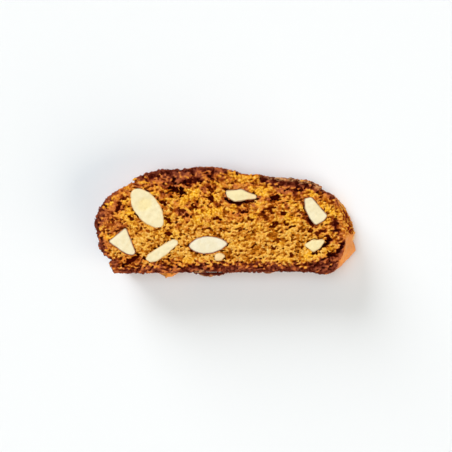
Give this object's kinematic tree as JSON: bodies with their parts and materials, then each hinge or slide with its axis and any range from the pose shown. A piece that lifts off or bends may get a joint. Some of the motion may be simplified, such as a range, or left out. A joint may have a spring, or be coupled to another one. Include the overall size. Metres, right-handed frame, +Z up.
{
  "type": "biscotti",
  "caption": "Slice of twice-baked almond biscuit with a domed, split crust and cut almonds level with its open crumb face.",
  "frame": {"origin": "middle of the slice's box in X and Y, on the cut face that it lies on", "axes": "+X along the slice, +Y from the loaf's flat base to its domed top, +Z up through the slice to the cut face that shows"},
  "size_m": [0.1118, 0.0466, 0.016],
  "materials": {
    "crumb": "dry, rough, open-pored baked crumb with a browned crust",
    "almond": "smooth, matt cut almond"
  },
  "bodies": {
    "root": {"biscuit": "crumb", "almond_half_left": "almond", "almond_half_middle": "almond", "almond_wedge_left": "almond", "almond_sliver": "almond", "almond_skinned_top": "almond", "almond_wedge_right": "almond", "almond_chip_right": "almond", "almond_nib_middle": "almond", "almond_nib_rim": "almond", "almond_under_left": "almond", "almond_under_middle": "almond", "almond_under_right": "almond", "almond_under_wedge": "almond", "almond_under_chip": "almond"}
  },
  "joints": []
}
